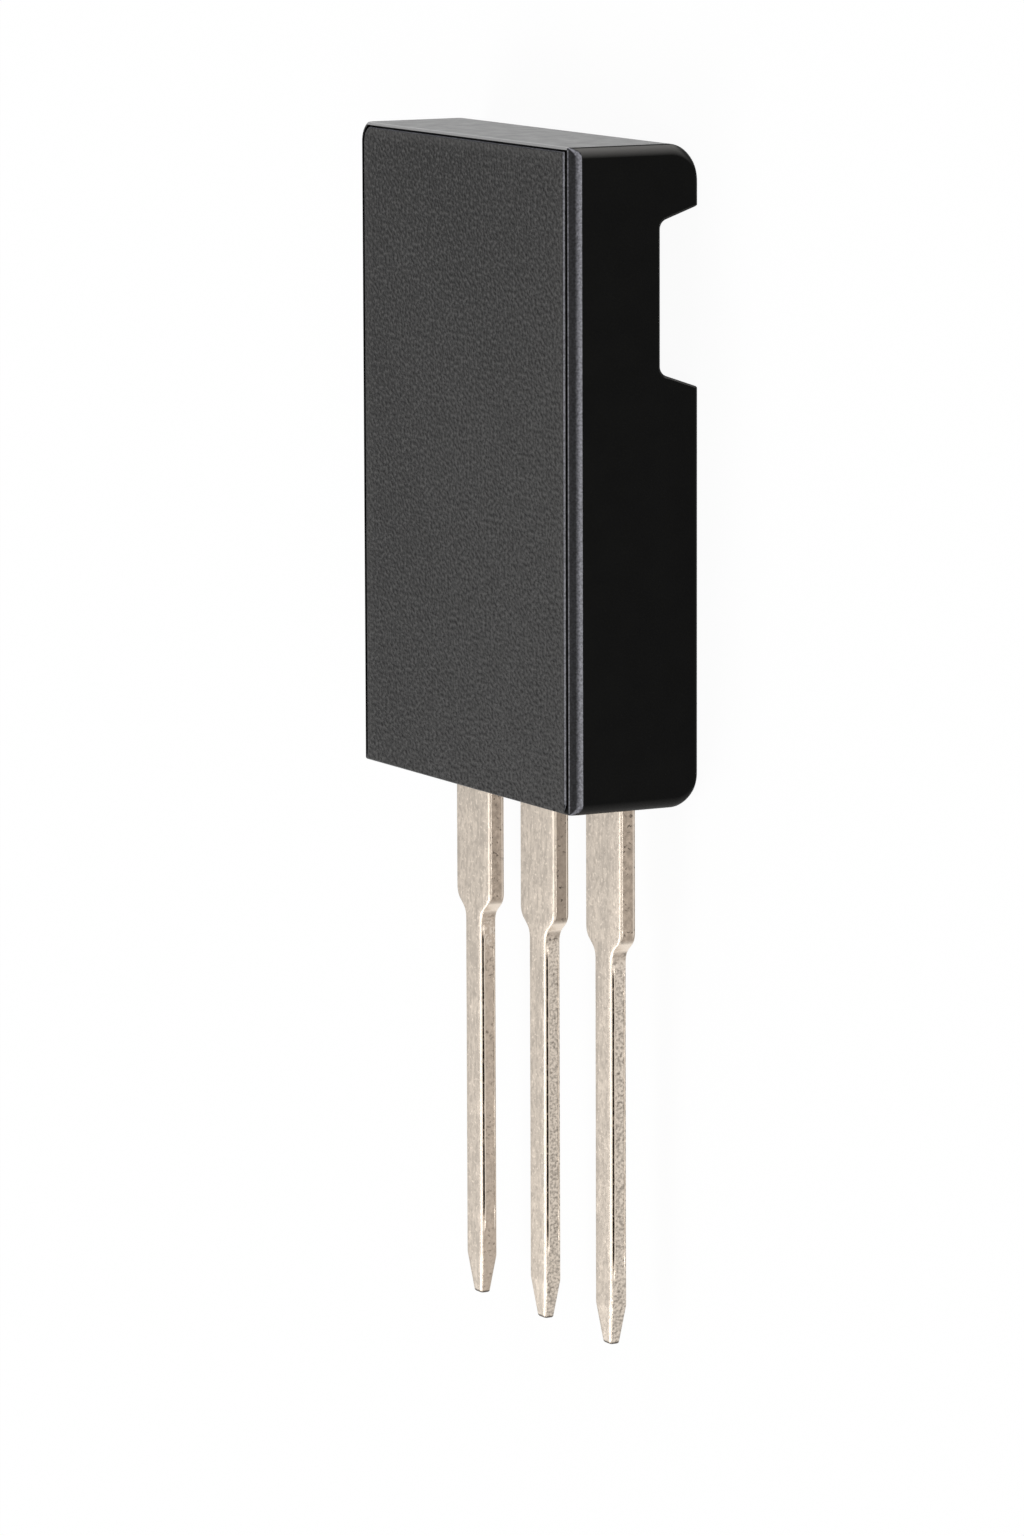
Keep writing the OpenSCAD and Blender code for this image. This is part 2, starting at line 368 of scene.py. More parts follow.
class Nodes:
    """A short way to write a material's nodes."""

    def __init__(self, name):
        self.material = bpy.data.materials.new(name)
        self.material.use_nodes = True
        self.tree = self.material.node_tree
        self.tree.nodes.clear()

    def add(self, kind, inputs=None, **settings):
        """A node of a kind, with its settings and with values or links on its inputs."""
        node = self.tree.nodes.new("ShaderNode" + kind)
        for key, value in settings.items():
            setattr(node, key, value)
        for key, value in (inputs or {}).items():
            if isinstance(value, bpy.types.NodeSocket):
                self.tree.links.new(value, node.inputs[key])
            else:
                node.inputs[key].default_value = value
        return node

    def place(self, stretch=(1, 1, 1)):
        """The point of the part that is shaded, in metres, stretched along the axes."""
        point = self.add("TexCoord").outputs["Object"]
        return self.add("VectorMath", {0: point, 1: stretch}, operation="MULTIPLY").outputs[0]

    def noise(self, size, detail=3.0, stretch=(1, 1, 1), roughness=0.5):
        """Noise from 0 to 1 whose features are about `size` metres across."""
        return self.add(
            "TexNoise",
            {
                "Vector": self.place(stretch),
                "Scale": 1 / size,
                "Detail": detail,
                "Roughness": roughness,
            },
        ).outputs["Fac"]

    def cells(self, size, smoothness=0.8):
        """Soft round cells from 0 to 1, each about `size` metres across."""
        return self.add(
            "TexVoronoi",
            {"Vector": self.place(), "Scale": 1 / size, "Smoothness": smoothness},
            feature="SMOOTH_F1",
        ).outputs["Distance"]

    def span(self, value, low, high, start=0.0, end=1.0):
        """The value, spread from low..high to start..end and held inside them."""
        return self.add(
            "MapRange",
            {"Value": value, "From Min": low, "From Max": high, "To Min": start, "To Max": end},
        ).outputs["Result"]

    def math(self, operation, first, second=0.0):
        """The result of a calculation on one or two values."""
        return self.add("Math", {0: first, 1: second}, operation=operation).outputs[0]

    def blend(self, share, first, second):
        """A colour between two colours."""
        node = self.add("Mix", {"Factor": share}, data_type="RGBA")
        for socket, value in ((node.inputs[6], first), (node.inputs[7], second)):
            if isinstance(value, bpy.types.NodeSocket):
                self.tree.links.new(value, socket)
            else:
                socket.default_value = (*value, 1)
        return node.outputs[2]

    def along(self, axis):
        """Where the shaded point lies along an axis of the part, in metres."""
        return self.add("SeparateXYZ", {0: self.place()}).outputs[axis]

    def facing(self, axis):
        """How far the surface faces along an axis of the part, from -1 to 1."""
        normal = self.add("TexCoord").outputs["Normal"]
        return self.add("SeparateXYZ", {0: normal}).outputs[axis]

    def bump(self, height, distance, strength, normal=None):
        """A surface normal that leans with a height map of `distance` metres, on top of an
        earlier normal if one is given."""
        inputs = {"Height": height, "Distance": distance, "Strength": strength}
        if normal:
            inputs["Normal"] = normal
        return self.add("Bump", inputs).outputs["Normal"]

    def surface(self, **inputs):
        """The finished material with a Principled shader. Underscores stand for spaces."""
        shader = self.add("BsdfPrincipled", {k.replace("_", " "): v for k, v in inputs.items()})
        output = self.add("OutputMaterial")
        self.tree.links.new(shader.outputs[0], output.inputs["Surface"])
        return self.material


def shade(colour, factor):
    """A colour made lighter or darker by a factor."""
    return tuple(min(1.0, c * factor) for c in colour)


# ------------------------------------------------------------------------------- materials


def pad_epoxy(settings):
    """The grained epoxy of the back face: soft pebbles, like fine leather, over a faint mottle.
    A painted light gradient makes it paler towards the leads and the base side, and a painted
    sheen makes it paler along its top and its long edges."""
    n = Nodes("pad_epoxy")
    size = settings.grain_size
    cells = n.cells(size * 1.3)
    crumple = n.noise(size, detail=1, stretch=(0.8, 1, 1), roughness=0.4)
    mottle = n.noise(0.0012, detail=4)
    broad = n.noise(0.008, detail=1)
    colour = settings.pad_colour
    # Painted light gradient: darker at the top and on the emitter's side, paler towards the leads
    # and the base side, with a faint random swing.
    down = n.span(n.along("Y"), BODY_TOP * MM, BODY_BOTTOM * MM)
    across = n.span(n.along("X"), -HALF_W * MM, HALF_W * MM, 0, 0.45)
    painted_light_gradient = n.math("ADD", n.math("MULTIPLY", down, 0.55), across)
    painted_light_gradient = n.math("ADD", painted_light_gradient, n.span(broad, 0.3, 0.7, -0.1, 0.1))
    toned = n.blend(painted_light_gradient, shade(colour, 0.35), shade(colour, 1.75))
    mottled = n.blend(n.span(mottle, 0.4, 0.75, 0, 0.3), toned, shade(colour, 1.3))
    dark = n.blend(n.span(crumple, 0.34, 0.50, 0.9, 0), mottled, shade(colour, 0.2))
    grained = n.blend(n.span(crumple, 0.52, 0.68, 0, 0.8), dark, shade(colour, 3.2))
    # Painted sheen along the pad's top and its long edges.
    edge_y = n.span(n.along("Y"), (BODY_TOP - 0.65) * MM, (BODY_TOP - 0.25) * MM, 0, 0.45)
    from_middle = n.math("ABSOLUTE", n.along("X"))
    edge_x = n.span(from_middle, (PAD_HALF - 0.6) * MM, PAD_HALF * MM, 0, 0.2)
    with_painted_sheen = n.blend(n.math("MAXIMUM", edge_y, edge_x), grained, shade(colour, 3.2))
    height = n.math("SUBTRACT", crumple, n.math("MULTIPLY", cells, 0.35))
    return n.surface(
        Base_Color=with_painted_sheen,
        Roughness=n.span(mottle, 0.3, 0.7, 0.42, 0.50),
        Specular_IOR_Level=0.16,
        Normal=n.bump(height, 0.000090, 1.0),
    )


def edge_epoxy(settings):
    """The bevels and the lips of the groove, finely grained. Their steep crests carry a painted
    highlight, paler and a little bluish."""
    n = Nodes("edge_epoxy")
    streaks = n.noise(0.00010, detail=3, stretch=(1, 0.5, 1))
    grain = n.noise(0.00009, detail=2)
    lean = n.facing("Z")
    # Painted highlight on the bevels' steep crests, ragged along its border.
    wobble = n.math("MULTIPLY", n.math("SUBTRACT", streaks, 0.5), 0.08)
    crest = n.span(n.math("ADD", lean, wobble), 0.53, 0.70, 1, 0)
    painted_highlight = n.math("MULTIPLY", crest, n.span(lean, 0.18, 0.34))
    colour = settings.edge_colour
    plain = n.blend(n.span(grain, 0.35, 0.65), shade(colour, 0.6), shade(colour, 1.8))
    paler = n.blend(n.span(grain, 0.33, 0.67), shade(colour, 10), shade(colour, 23))
    height = n.math("ADD", streaks, grain)
    return n.surface(
        Base_Color=n.blend(painted_highlight, plain, paler),
        Roughness=n.span(streaks, 0.3, 0.7, 0.27, 0.36),
        Specular_IOR_Level=0.20,
        Normal=n.bump(height, 0.000014, 0.8),
    )


def side_epoxy(settings):
    """The smoother epoxy of the long sides and the front, with a fine even mould texture. It is
    painted much darker than the pad, as painted shade. The soft upright corners carry a painted
    highlight, which stops just short of the end face and leaves a dark line at the crease."""
    n = Nodes("side_epoxy")
    fine = n.noise(0.00009, detail=2)
    mottle = n.noise(0.0011, detail=4)
    # Painted highlight on the soft upright corners, strong on the top corners and faint on the
    # bottom ones.
    corner = n.span(n.math("ABSOLUTE", n.along("X")), (HALF_W - 0.6) * MM, (HALF_W - 0.5) * MM)
    upright = n.span(n.math("ABSOLUTE", n.facing("Z")), 0.15, 0.35, 1, 0)
    crease = n.span(n.along("Y"), (BODY_TOP - 0.045) * MM, (BODY_TOP - 0.030) * MM, 1, 0)
    upper = n.span(n.facing("Y"), 0.12, 0.72)
    lower = n.span(n.facing("Y"), -0.12, -0.72, 0, 0.2)
    painted_highlight = n.math("MULTIPLY", n.math("ADD", upper, lower), n.math("MULTIPLY", corner, upright))
    painted_highlight = n.math("MULTIPLY", painted_highlight, crease)
    colour = settings.side_colour
    toned = n.blend(n.span(mottle, 0.35, 0.65), shade(colour, 0.8), shade(colour, 1.2))
    specked = n.blend(n.span(fine, 0.5, 0.75, 0, 0.6), toned, shade(colour, 2.2))
    return n.surface(
        Base_Color=n.blend(painted_highlight, specked, FILLET_HIGHLIGHT),
        Roughness=n.span(mottle, 0.3, 0.7, 0.38, 0.46),
        Specular_IOR_Level=0.06,
        Normal=n.bump(fine, 0.000008, 0.7),
    )


def top_epoxy(settings):
    """The end faces' epoxy, which the mould leaves satin and a little dusty. It is painted paler
    than the pad, as painted light, and a painted highlight makes its borders paler still."""
    n = Nodes("top_epoxy")
    fine = n.noise(0.00005, detail=3)
    dust = n.noise(0.0008, detail=5, roughness=0.6)
    # Painted highlight along the end faces' borders.
    side = (HALF_W - CORNER_R * (1 - math.cos(math.radians(CORNER_TURN)))) * MM
    border_x = n.span(n.math("ABSOLUTE", n.along("X")), side - 0.00010, side - 0.00004)
    border_z = n.span(n.along("Z"), (BODY_T - 0.16) * MM, (BODY_T - 0.10) * MM)
    painted_highlight = n.math("MAXIMUM", border_x, border_z)
    colour = settings.end_colour
    dusty = n.blend(n.span(dust, 0.35, 0.7), shade(colour, 0.85), shade(colour, 1.2))
    return n.surface(
        Base_Color=n.blend(painted_highlight, dusty, shade(colour, 6)),
        Roughness=n.span(dust, 0.3, 0.7, 0.30, 0.42),
        Specular_IOR_Level=0.5,
        Normal=n.bump(fine, 0.000005, 0.6),
    )


def tinned_copper(settings):
    """Matt tin over copper. The faces have fine streaks, grain and specks, and a painted highlight
    runs along their bevelled edges. The sheared flanks are browner and pitted on the shoulders, and
    better plated along the tails, with a rough patch where the two meet. The emitter's flanks took
    the least tin. The cut tips are dark brown, part bare copper and part painted shade. The sheared
    line is darkened with painted shade and its ridge carries a painted highlight. Slopes that face
    along the lead are painted a little darker, as painted shade."""
    n = Nodes("tinned_copper")
    colour, brown = settings.plating_colour, settings.flank_colour
    streaks = n.noise(0.00019, detail=3, stretch=(1, 0.15, 1))
    mottle = n.noise(0.0007, detail=3)
    grain = n.noise(0.00018, detail=3, stretch=(1, 0.6, 1))
    specks = n.noise(0.00014, detail=1)
    fine = n.noise(0.00011, detail=2)
    crust = n.noise(0.00020, detail=4, roughness=0.6)
    pits = n.noise(0.00013, detail=1)
    clumps = n.noise(0.0005, detail=1)

    sideways = n.math("ABSOLUTE", n.facing("X"))
    flank = n.span(sideways, 0.72, 0.93)
    # Painted highlight along the bevels between the faces and the flanks, fading out along the tip.
    painted_edge_highlight = n.math("MULTIPLY", n.span(sideways, 0.25, 0.45), n.span(sideways, 0.70, 0.90, 1, 0))
    ledge = n.span(n.math("ABSOLUTE", n.facing("Y")), 0.35, 0.65)
    ragged = n.math("ADD", n.along("Y"), n.math("MULTIPLY", crust, 0.0008))
    on_tail = n.span(ragged, (TAIL_START - 0.05) * MM, (TAIL_START + 0.55) * MM, 1, 0)
    patch = n.math("MULTIPLY", on_tail, n.span(ragged, PATCH_Y[0] * MM, PATCH_Y[1] * MM))
    patch = n.math("MULTIPLY", patch, n.span(specks, 0.48, 0.62, 0, 0.7))
    # The cut tips are painted dark brown: part bare copper, part painted shade.
    cut_tip = n.span(n.along("Y"), (LEAD_TIP + 0.06) * MM, (LEAD_TIP + 0.12) * MM, 1, 0)
    above_tip = n.span(n.along("Y"), (TIP_START - 0.6) * MM, (TIP_START + 0.6) * MM, 0.2, 1)
    emitter = n.span(n.along("X"), EMITTER_X[0] * MM, EMITTER_X[1] * MM, 0.8, 0)
    from_middle = n.math("ABSOLUTE", n.along("X"))
    collector = n.span(from_middle, COLLECTOR_X[0] * MM, COLLECTOR_X[1] * MM, 0.5, 0)
    crevice = n.add("Attribute", attribute_name="crevice").outputs["Fac"]
    # Painted highlight on the ridge beside the sheared line.
    lip = n.math("MULTIPLY", n.span(crevice, 0.02, 0.08), n.span(crevice, 0.16, 0.30, 1, 0))

    face = n.blend(n.span(mottle, 0.3, 0.7), shade(colour, 0.90), shade(colour, 1.04))
    face = n.blend(n.span(streaks, 0.35, 0.52, 0.9, 0), face, shade(colour, 0.78))
    face = n.blend(n.span(grain, 0.36, 0.50, 0.8, 0), face, shade(colour, 0.72))
    face = n.blend(n.span(specks, 0.58, 0.78, 0, 0.8), face, shade(colour, 1.35))
    # Slopes that face along the lead get a little painted shade.
    face = n.blend(n.math("MULTIPLY", ledge, 0.5), face, shade(colour, 0.95))
    face = n.blend(n.math("MULTIPLY", painted_edge_highlight, above_tip), face, shade(colour, 1.35))

    shoulder = n.blend(n.span(crust, 0.35, 0.65), shade(brown, 0.80), shade(brown, 1.15))
    shoulder = n.blend(n.span(grain, 0.35, 0.55, 0.6, 0), shoulder, shade(brown, 0.66))
    shoulder = n.blend(collector, shoulder, shade(brown, 0.55))
    bare = n.blend(n.span(crust, 0.35, 0.65), shade(brown, 0.92), shade(brown, 1.20))
    tail = n.blend(n.span(fine, 0.34, 0.62), shade(colour, 0.55), shade(colour, 1.12))
    tail = n.blend(emitter, tail, bare)
    side = n.blend(on_tail, shoulder, tail)
    side = n.blend(patch, side, shade(colour, 1.15))
    pitted = n.math("MULTIPLY", n.span(pits, 0.33, 0.41, 0.9, 0), n.span(clumps, 0.40, 0.60))
    pitted = n.math("MULTIPLY", pitted, n.span(on_tail, 0, 1, 1, 0.6))
    side = n.blend(pitted, side, shade(brown, 0.20))
    side = n.blend(lip, side, shade(colour, 1.3))

    plated = n.blend(flank, face, side)
    plated = n.blend(cut_tip, plated, shade(brown, 0.2))
    # Painted shade in the sheared line, broken up by specks.
    painted_crevice_shade = n.math("MULTIPLY", n.span(crevice, 0.25, 0.60), n.span(specks, 0.34, 0.44, 0.5, 1))
    relief = n.math("MULTIPLY", n.math("ADD", crust, fine), n.span(flank, 0, 1, 0.25, 1))
    return n.surface(
        Base_Color=n.blend(painted_crevice_shade, plated, CREVICE_SHADE),
        Metallic=1.0,
        Roughness=n.span(mottle, 0.3, 0.7, 0.36, 0.44),
        Normal=n.bump(relief, 0.000028, 0.7, n.bump(streaks, 0.000008, 0.5)),
    )


def solder():
    """Soft solder, dull grey with a faint crust."""
    n = Nodes("solder")
    crust = n.noise(0.0003, detail=5)
    return n.surface(
        Base_Color=n.blend(n.span(crust, 0.3, 0.7), (0.36, 0.36, 0.37), (0.52, 0.52, 0.53)),
        Metallic=1.0,
        Roughness=n.span(crust, 0.3, 0.7, 0.35, 0.55),
        Normal=n.bump(crust, 0.00001, 0.4),
    )


def silicon():
    """A silicon die with its metal cells."""
    n = Nodes("silicon")
    cells = n.cells(0.0004, smoothness=0.1)
    return n.surface(
        Base_Color=n.blend(n.span(cells, 0.2, 0.5), (0.10, 0.11, 0.13), (0.045, 0.05, 0.065)),
        Roughness=n.span(cells, 0.2, 0.5, 0.18, 0.3),
        Specular_IOR_Level=0.8,
        Normal=n.bump(cells, 0.000004, 0.3),
    )


def aluminium_wire():
    """Drawn aluminium bond wire."""
    n = Nodes("aluminium_wire")
    drawing = n.noise(0.00008, detail=3)
    return n.surface(
        Base_Color=n.blend(drawing, (0.78, 0.79, 0.80), (0.86, 0.87, 0.88)),
        Metallic=1.0,
        Roughness=n.span(drawing, 0.3, 0.7, 0.25, 0.4),
        Normal=n.bump(drawing, 0.000003, 0.3),
    )


def floor_paint(settings):
    """Matt pale paint. To the camera and in reflections it is nearly white, so that the floor
    stays pale where the part's shadow lies. From below it is clear, to show the part's front."""
    n = Nodes("floor_paint")
    cloud = n.noise(0.05, detail=2)
    colour = settings.floor_colour
    paint = n.add(
        "BsdfDiffuse",
        {"Color": n.blend(n.span(cloud, 0.3, 0.7), shade(colour, 0.995), colour)},
    )
    white = n.add("Emission", {"Color": (1, 1, 1, 1), "Strength": 1.0})
    path = n.add("LightPath").outputs
    seen = n.math("MAXIMUM", path["Is Camera Ray"], path["Is Glossy Ray"])
    seen = n.math("MAXIMUM", seen, path["Is Transmission Ray"])
    mixed = n.add("MixShader", {0: n.math("MULTIPLY", seen, FLOOR_WHITENESS)})
    n.tree.links.new(paint.outputs[0], mixed.inputs[1])
    n.tree.links.new(white.outputs[0], mixed.inputs[2])
    sided = n.add("MixShader", {0: n.add("NewGeometry").outputs["Backfacing"]})
    n.tree.links.new(mixed.outputs[0], sided.inputs[1])
    n.tree.links.new(n.add("BsdfTransparent", {"Color": (1, 1, 1, 1)}).outputs[0], sided.inputs[2])
    output = n.add("OutputMaterial")
    n.tree.links.new(sided.outputs[0], output.inputs["Surface"])
    return n.material


# ------------------------------------------------------------------------------- housing


def outline(inset_x, inset_bottom, inset_top, key_r, r, inset_far=None):
    """The housing seen from above at one height: a rectangle with round corners, of which the
    emitter's top corner has its own radius. Each side is inset from the largest outline, and the
    emitter's long side by `inset_far` where that is given. A corner's arc starts square on the
    long side and meets the end face at a slight crease. Each long side has one more point just
    above its bottom corner. The points start on the base side, below its top corner, and go round
    by way of the top."""
    low, high = BODY_BOTTOM + inset_bottom, BODY_TOP - inset_top
    turns = [CORNER_TURN * share for share in CORNER_SHARES]
    rise = math.sin(math.radians(CORNER_TURN))
    points = []
    for x_side, y_side, radius in ((1, 1, r), (-1, 1, key_r), (-1, -1, r), (1, -1, r)):
        half = HALF_W - (inset_x if x_side > 0 or inset_far is None else inset_far)
        end = high if y_side > 0 else low
        corner = [] if y_side > 0 else [(x_side * half, low + radius * rise + GROOVE_RUN_OUT)]
        for turn in turns:
            a = math.radians(turn)
            across = half - radius * (1 - math.cos(a))
            corner.append((x_side * across, end - y_side * radius * (rise - math.sin(a))))
        points += corner if x_side == y_side else corner[::-1]
    return points


def round_over(depth, radius):
    """How far a round edge of a radius has drawn back where `depth` is left to its end face."""
    left = max(0.0, radius - depth)
    return radius - math.sqrt(max(0.0, radius * radius - left * left))


def front_rings():
    """Rings of the round front edges, from the front face up to the straight walls."""
    steps = 14
    heights = {TOP_FRONT_R * (1 - math.cos(math.pi / 2 * i / steps)) for i in range(steps + 1)}
    heights |= {SIDE_FRONT_R * share for share in (0.02, 0.07, 0.15, 0.27, 0.42, 0.6, 0.8, 1)}
    rings = []
    for z in sorted(heights):
        share = 1 - round_over(z, TOP_FRONT_R) / TOP_FRONT_R
        key_r = CORNER_R + (KEY_CORNER_R - CORNER_R) * share
        shape = outline(
            round_over(z, SIDE_FRONT_R),
            round_over(z, BOTTOM_FRONT_R),
            round_over(z, TOP_FRONT_R),
            key_r,
            CORNER_R,
        )
        rings.append([(x, y, z) for x, y in shape])
    return rings


def bevel_rings():
    """Rings of the bowed bevels along the two long back edges, and of the low lip that stands
    between each bevel and the groove."""
    first, last = BACK_BEVEL_TURN
    steps = 7
    profile = []  # how far in, and how far below the back face
    for i in range(steps + 1):
        turn = last + (first - last) * i / steps
        inward = 1 - (math.sin(turn) - math.sin(first)) / (math.sin(last) - math.sin(first))
        drop = (math.cos(first) - math.cos(turn)) / (math.cos(first) - math.cos(last))
        across = inward * (BACK_BEVEL - LIP_W)
        profile.append((across, LIP_DROP + drop * (BACK_BEVEL_DROP - LIP_DROP)))
    profile += [(BACK_BEVEL - 0.028, 0.003), (BACK_BEVEL, 0.0)]
    rings = []
    for inset, drop in profile:
        shape = outline(
            inset,
            round_over(drop, BOTTOM_EDGE_R),
            round_over(drop, TOP_EDGE_R),
            KEY_CORNER_R - inset / 4,
            CORNER_R + (GROOVE_CORNER_R - CORNER_R) * inset / BACK_BEVEL,
        )
        rings.append([(x, y, BODY_T - drop) for x, y in shape])
    return rings


def groove_rings():
    """Rings of the fine groove round the back face. It has an outer wall, a floor and an inner
    wall with a round lip. It is wide on the base side, narrow on the emitter's side and across
    the top, and runs out at the bottom edge."""
    floor = GROOVE_DEPTH
    profile = (  # how far in on the wide side, the same on the narrow sides, and how deep
        (0.004, 0.002, 0.012),
        (0.012, 0.006, floor - 0.03),
        (0.03, 0.015, floor),
        (GROOVE_W - 0.03, 0.065, floor),
        (GROOVE_W - 0.008, 0.078, floor - 0.03),
        (GROOVE_W, 0.082, 0.090),
        (GROOVE_W + 0.004, 0.090, 0.078),
        (GROOVE_W + 0.042, 0.115, 0.018),
        (GROOVE_W + 0.060, 0.145, 0.008),
        (GROOVE_W + 0.085, 0.190, 0.002),
        (GROOVE_W + 0.120, 0.240, 0.0),
    )
    rings = []
    for inset, inset_top, depth in profile:
        inset_bottom = BOTTOM_EDGE_R + RING_STEP * inset
        shape = outline(
            BACK_BEVEL + inset,
            inset_bottom,
            RIM_W + inset_top,
            KEY_CORNER_R - BACK_BEVEL / 4 - inset_top,
            GROOVE_CORNER_R,
            BACK_BEVEL + inset_top,
        )
        # Only the points at the bottom edge, small corners and all, stay level with the back face.
        edge = BODY_BOTTOM + inset_bottom + 0.97 * GROOVE_CORNER_R
        rings.append([(x, y, BODY_T - (depth if y > edge else 0)) for x, y in shape])
    return rings


def channel_tool():
    """The clip channel as a solid, with round lips and floor corners. It widens a little at both
    sides of the housing, which bevels the channel's ends."""
    low, high = CHANNEL_FLOOR
    spread = math.tan(CHANNEL_DRAFT) * CHANNEL_DEPTH
    past, outside, lead_in = TOOL_PAST, -2.0, -0.05
    profile = rounded_path(
        (
            (high + spread + past, lead_in, 0),
            (high + spread, 0, CHANNEL_LIP_R),
            (high, CHANNEL_DEPTH, CHANNEL_FLOOR_R),
            (low, CHANNEL_DEPTH, CHANNEL_FLOOR_R),
            (low - spread, 0, CHANNEL_LIP_R),
            (low - spread - past, lead_in, 0),
        )
    )
    profile += [Vector((low - spread - past, outside)), Vector((high + spread + past, outside))]
    middle = (low + high) / 2
    bevel, beside = CHANNEL_END_BEVEL, 0.5
    rings = []
    for x, wider in (
        (-HALF_W - beside, bevel + beside),
        (-HALF_W + bevel, 0),
        (HALF_W - bevel, 0),
        (HALF_W + beside, bevel + beside),
    ):
        ring = []
        for y, z in profile:
            side = max(-1, min(1, (y - middle) / (high - middle)))
            deeper = wider * max(0.0, z) / CHANNEL_DEPTH
            ring.append((x, y + side * wider, z + deeper))
        rings.append(ring)
    bm = bmesh.new()
    loft(bm, rings)
    return new_object("channel_tool", bm)


def housing_shape():
    """The whole moulding, without its clip channel and its ejector marks."""
    bm = bmesh.new()
    loft(bm, front_rings() + bevel_rings() + groove_rings())
    return new_object("moulded_housing", bm)


def set_housing_materials(mesh):
    """Gives each face its kind of epoxy: the grained back face, the bevels and the lips of the
    groove, the sides with the front and the groove, or the two ends with the thin rim along the
    top. The mesh is in metres."""
    for face in mesh.polygons:
        normal, at = face.normal, face.center / MM
        below = BODY_T - at.z
        inside = HALF_W - BACK_BEVEL - abs(at.x)
        near_end = min(BODY_TOP - at.y, at.y - BODY_BOTTOM) < 0.1
        run_out = inside < GROOVE_W and at.x > 0 and at.y < BODY_BOTTOM + 0.5
        if abs(normal.y) > 0.97 and near_end:
            kind = END_FACE
        elif normal.z < 0.2 or below > 0.6 or at.z < 1:
            kind = SIDE_FACE
        elif inside < 0.005:
            kind = EDGE_FACE
        elif at.y > BODY_TOP - RIM_W:
            kind = END_FACE
        # The groove's walls and floor take the sides' near-black epoxy, as painted shade in the
        # recess.
        elif below > GROOVE_DEPTH - 0.05 or run_out:
            kind = SIDE_FACE
        elif below > 0.010:
            kind = EDGE_FACE
        else:
            kind = PAD_FACE
        face.material_index = kind


class MakeHousing(bpy.types.Operator):
    """Builds the moulded epoxy housing"""

    bl_idname = "transistor.housing"
    bl_label = "Moulded Housing"

    def execute(self, context):
        settings = context.scene.transistor_housing
        housing = housing_shape()
        cut(housing, channel_tool())
        for x in (-EJECTOR_X, EJECTOR_X):
            bm = bmesh.new()
            mark = disc_outline(x, EJECTOR_Y, EJECTOR_R)
            loft(bm, prism(mark, -TOOL_PAST, EJECTOR_DEPTH))
            cut(housing, new_object("ejector_tool", bm))
        kinds = [make(settings) for make in (pad_epoxy, edge_epoxy, side_epoxy, top_epoxy)]
        finish_piece(housing, "body", kinds, sharp=math.radians(18))
        set_housing_materials(housing.data)
        return {"FINISHED"}


# ------------------------------------------------------------------------------- leads


def fade(value, start, end):
    """0 before start, 1 after end, and a straight rise between them."""
    return max(0.0, min(1.0, (value - start) / (end - start)))


def crevice_at(y, seed):
    """How much of the sheared line shows at a place along a lead, from 0 to 1. It is full along
    the tail, faint on the shoulder, and ragged all along."""
    tail = fade(-y, -TAIL_START + 0.5, -TAIL_START + 1.1)
    tail *= fade(y, TIP_START + 1.0, TIP_START + 2.2)
    shoulder = 0.35 * fade(y, SHOULDER_END, SHOULDER_END + 0.3)
    ragged = 0.8 + 0.35 * noise.noise(Vector((y * 1.7, seed, 0)))
    return min(1.0, max(tail, shoulder) * ragged)


def lead_section(half_w, half_t, crevice, shoulder):
    """One side of a lead's cross-section, from its back face round to its front face, as
    (x, z, crevice) points. Under the back face's bevel lies the sheared line, with a ridge below
    it, and a second fine line runs just above the front face. Both are finer on the shoulder."""
    bevel_x = 0.095 - 0.020 * shoulder
    bevel_z = 0.055 + 0.010 * shoulder
    line = half_t - bevel_z - SHEAR_BELOW_BEVEL
    depth = crevice * (SHEAR_DEPTH - 0.05 * shoulder)
    wide = SHEAR_W - 0.05 * shoulder
    ridge = SHEAR_RIDGE * (1 - shoulder) * min(1.0, 2 * crevice)
    low = -half_t + SECOND_LINE_Z
    return [
        (half_w * 0.5, half_t, 0),
        (half_w - bevel_x - 0.02, half_t, 0),
        (half_w - bevel_x, half_t - 0.004, 0),
        (half_w - 0.45 * bevel_x, half_t - 0.40 * bevel_z, 0),
        (half_w - 0.004, half_t - bevel_z, 0),
        (half_w - 0.2 * depth, line, 0.5 * crevice),
        (half_w - depth, line - 0.3 * wide, crevice),
        (half_w - depth, line - 0.7 * wide, crevice),
        (half_w - 0.1 * depth, line - wide, 0.4 * crevice),
        (half_w + ridge, line - wide - 0.025, 0),
        (half_w + 0.6 * ridge, line - wide - 0.055, 0),
        (half_w, line - wide - 0.09, 0),
        (half_w, -half_t * 0.3, 0),
        (half_w, low + 0.03, 0),
        (half_w - 0.5 * depth, low + 0.008, 0.8 * crevice),
        (half_w - 0.006, low - 0.018, 0),
        (half_w - 0.018, -half_t + 0.03, 0),
        (half_w - 0.055, -half_t, 0),
        (half_w * 0.5, -half_t, 0),
    ]


def lead_profile(top):
    """(y, half width) along a lead from `top` to its tip, with extra places between them so
    that the sheared line can waver."""
    corners = [(top, SHOULDER_W / 2, 0)] if top < PAD_BOTTOM else [
        (top, PAD_W / 2, 0),
        (PAD_BOTTOM, PAD_W / 2, 0),
        (PAD_BOTTOM - RING_GAP, SHOULDER_W / 2, 0),
    ]
    corners += [
        (SHOULDER_END, SHOULDER_W / 2, SLOPE_R),
        (TAIL_START, TAIL_W / 2, SLOPE_R),
        (TIP_START, TAIL_W / 2, TIP_BEND_R),
        (LEAD_TIP, TIP_W / 2, 0),
    ]
    path = rounded_path(corners)
    dense = [path[0]]
    for here in path[1:]:
        before = dense[-1]
        across = math.ceil(abs(here.y - before.y) / 0.1)
        along = math.ceil((before.x - here.x) / 0.25)
        parts = max(1, across, along)
        dense += [before.lerp(here, i / parts) for i in range(1, parts + 1)]
    return dense


